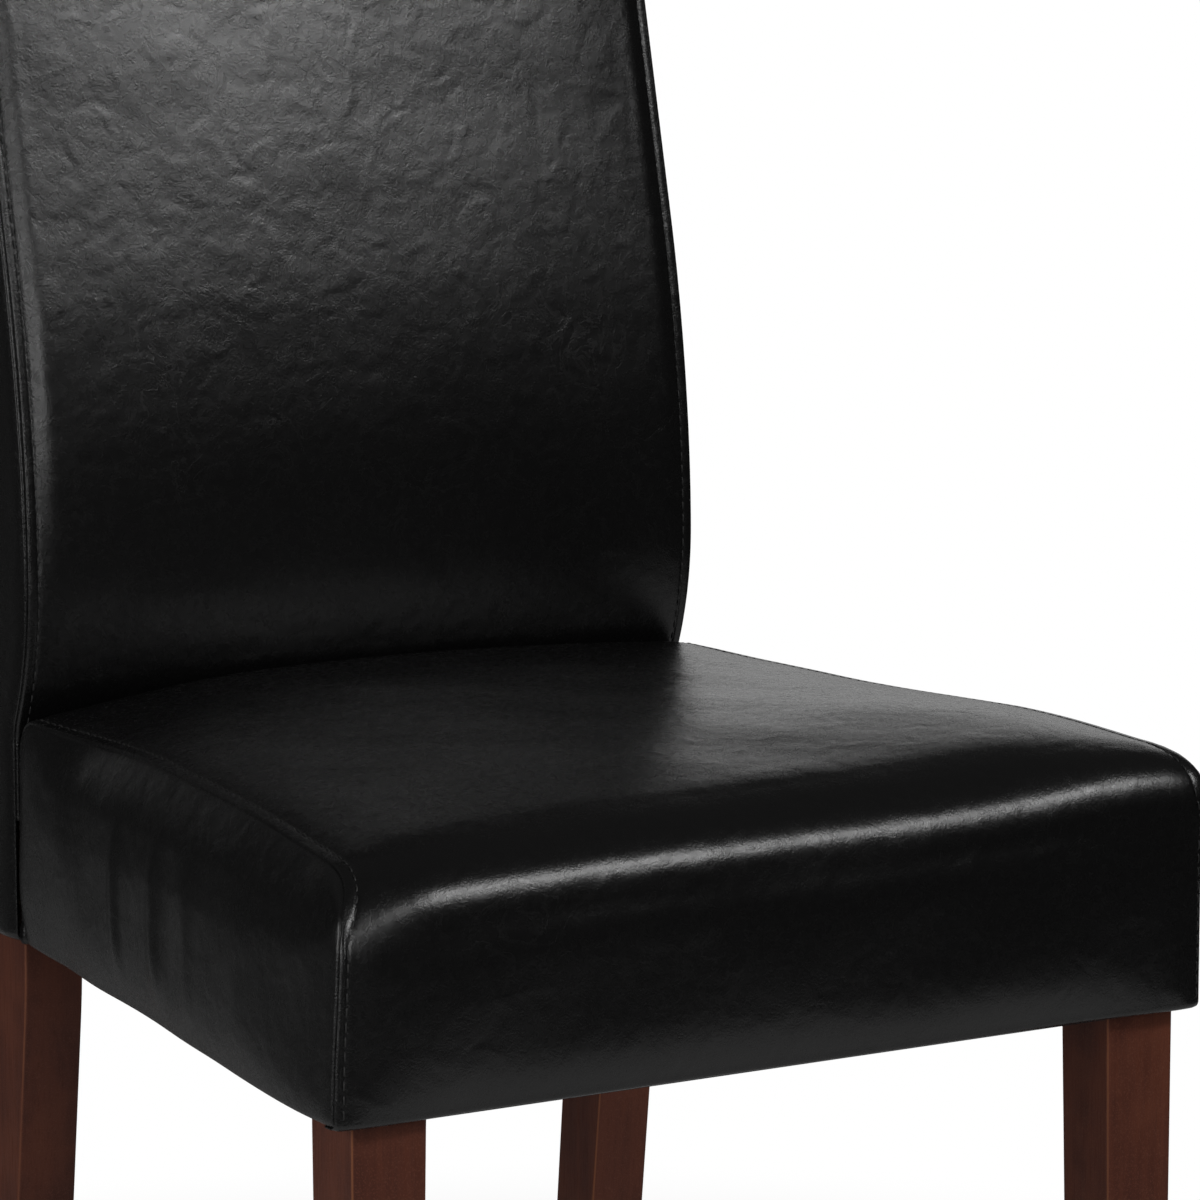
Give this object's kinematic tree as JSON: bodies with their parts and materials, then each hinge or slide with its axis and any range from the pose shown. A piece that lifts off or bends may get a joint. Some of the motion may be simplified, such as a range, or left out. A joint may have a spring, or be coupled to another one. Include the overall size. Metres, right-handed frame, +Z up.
{
  "type": "upholstered dining chair",
  "caption": "Armless dining chair with a tight leather seat and full-height padded back on a wooden frame with square front legs and raked rear legs.",
  "frame": {"origin": "on the floor, midway across and midway deep", "axes": "+Z up, -Y to the front of the chair, +X to the right as seen from the front"},
  "size_m": [0.465, 0.537, 0.985],
  "materials": {
    "stained_wood": "satin",
    "frame_wood": "matte",
    "hardboard": "matte",
    "leather": "satin",
    "foam": "matte",
    "padding": "matte",
    "webbing": "matte",
    "dust_cloth": "matte",
    "zinc_steel": "satin",
    "insert_brass": "satin",
    "glide_plastic": "matte"
  },
  "bodies": {
    "root": {"front_leg_left": "stained_wood", "front_leg_right": "stained_wood", "rear_post_left": "stained_wood", "rear_post_right": "stained_wood", "seat_front_rail": "frame_wood", "seat_rear_rail": "frame_wood", "seat_side_rail_left": "frame_wood", "seat_side_rail_right": "frame_wood", "corner_block_front_left": "frame_wood", "corner_block_front_right": "frame_wood", "corner_block_rear_left": "frame_wood", "corner_block_rear_right": "frame_wood", "back_bottom_rail": "frame_wood", "back_lumbar_rail": "frame_wood", "back_crest_rail": "frame_wood", "seat_frame_dowels": "frame_wood", "back_frame_dowels": "frame_wood", "back_rear_panel": "hardboard", "seat_cover_top": "leather", "seat_cover_side_left": "leather", "seat_cover_side_right": "leather", "back_cover_front": "leather", "back_cover_rear": "leather", "back_cover_side_left": "leather", "back_cover_side_right": "leather", "seat_foam": "foam", "back_foam": "foam", "seat_padding_front": "padding", "seat_padding_left": "padding", "seat_padding_right": "padding", "back_wadding_wrap": "padding", "seat_webbing_long": "webbing", "seat_webbing_cross": "webbing", "back_webbing": "webbing", "dust_cover": "dust_cloth", "seat_bolts": "zinc_steel", "seat_bolt_washers": "zinc_steel", "corner_block_screws": "zinc_steel", "webbing_staples": "zinc_steel", "back_webbing_staples": "zinc_steel", "rear_panel_staples": "zinc_steel", "dust_cover_staples": "zinc_steel", "glide_nails": "zinc_steel", "bolt_insert_nuts": "insert_brass", "floor_glides": "glide_plastic"}
  },
  "joints": []
}
